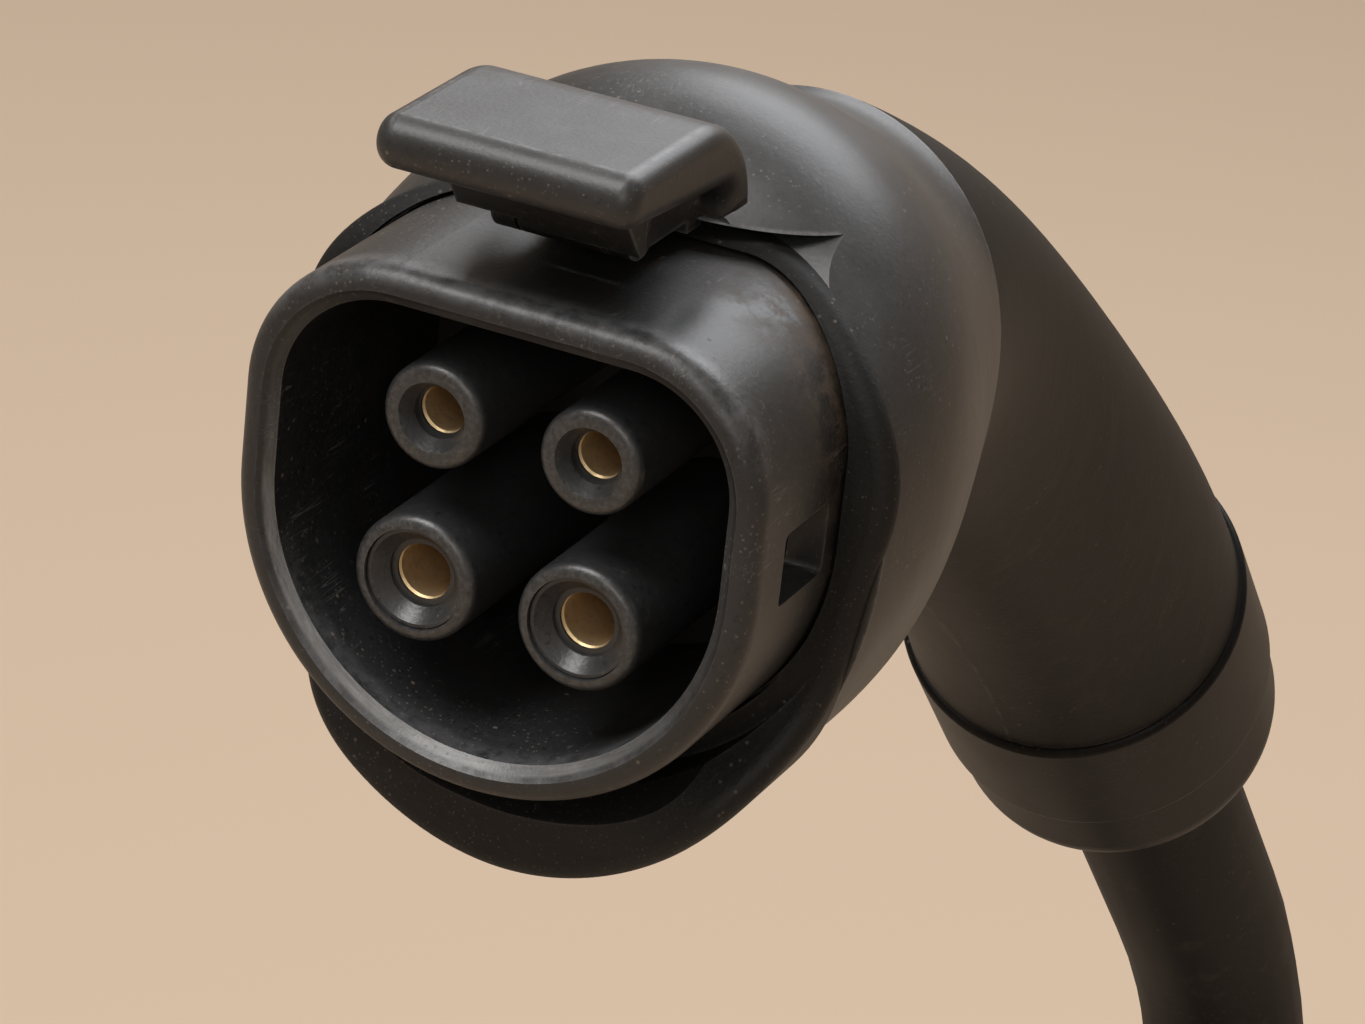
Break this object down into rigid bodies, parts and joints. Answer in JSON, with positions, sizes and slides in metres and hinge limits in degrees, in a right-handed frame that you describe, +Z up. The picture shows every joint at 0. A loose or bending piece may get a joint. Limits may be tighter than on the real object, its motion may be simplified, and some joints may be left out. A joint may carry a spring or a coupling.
{
  "type": "EV charging plug",
  "caption": "Hand-held charging plug: D-shaped socket nozzle, hinged latch on top, sloping round grip and a thick cable put away in a coil.",
  "frame": {"origin": "middle of the nozzle's front face", "axes": "-Y out of the nozzle, +Z up through the latch, +X to the right seen from the grip"},
  "size_m": [0.3473, 0.4017, 0.4824],
  "materials": {
    "shroud_plastic": "satin",
    "carrier_plastic": "satin",
    "guard_plastic": "matte",
    "brass": "satin",
    "collar_rubber": "matte",
    "head_plastic": "satin",
    "grip_plastic": "satin",
    "latch_plastic": "satin",
    "ring_plastic": "satin",
    "inner_plastic": "matte",
    "steel": "satin",
    "seal_rubber": "matte",
    "cable_rubber": "matte",
    "core_blue": "satin",
    "core_brown": "satin",
    "core_green": "satin",
    "core_white": "satin",
    "strap_fabric": "matte"
  },
  "bodies": {
    "plug": {"cable_coil": "cable_rubber", "cable_end": "cable_rubber", "cable_seal": "seal_rubber", "cable_tail": "cable_rubber", "clamp_lower": "inner_plastic", "clamp_screws": "steel", "clamp_upper": "inner_plastic", "coil_ties": "strap_fabric", "contact_carrier": "carrier_plastic", "contact_lower_left": "brass", "contact_lower_right": "brass", "contact_retainer": "inner_plastic", "contact_upper_left": "brass", "contact_upper_right": "brass", "core_lower_left": "core_brown", "core_lower_right": "core_blue", "core_screws": "steel", "core_upper_left": "core_white", "core_upper_right": "core_green", "end_cap": "ring_plastic", "end_cores": "core_white", "end_ferrules": "steel", "end_ring": "ring_plastic", "front_collar": "collar_rubber", "grip_left": "grip_plastic", "grip_right": "grip_plastic", "grip_screws": "steel", "guard_ring_left": "guard_plastic", "guard_ring_right": "guard_plastic", "head_housing": "head_plastic", "head_screws": "steel", "latch_pin": "steel", "latch_spring": "steel", "nozzle_shroud": "shroud_plastic", "shroud_seal": "seal_rubber", "sleeve_lower_left": "carrier_plastic", "sleeve_lower_right": "carrier_plastic", "sleeve_upper_left": "carrier_plastic", "sleeve_upper_right": "carrier_plastic"},
    "latch": {"latch_lever": "latch_plastic"}
  },
  "joints": [
    {"name": "latch_pivot", "type": "hinge", "parent": "plug", "child": "latch", "pos_m": [0, 0.013, 0.031], "axis": [-1, 0, 0], "range_deg": [0, 12], "stiffness_Nm_per_rad": 0.5, "springref_deg": -5.73, "deforming": ["latch_spring"]}
  ]
}
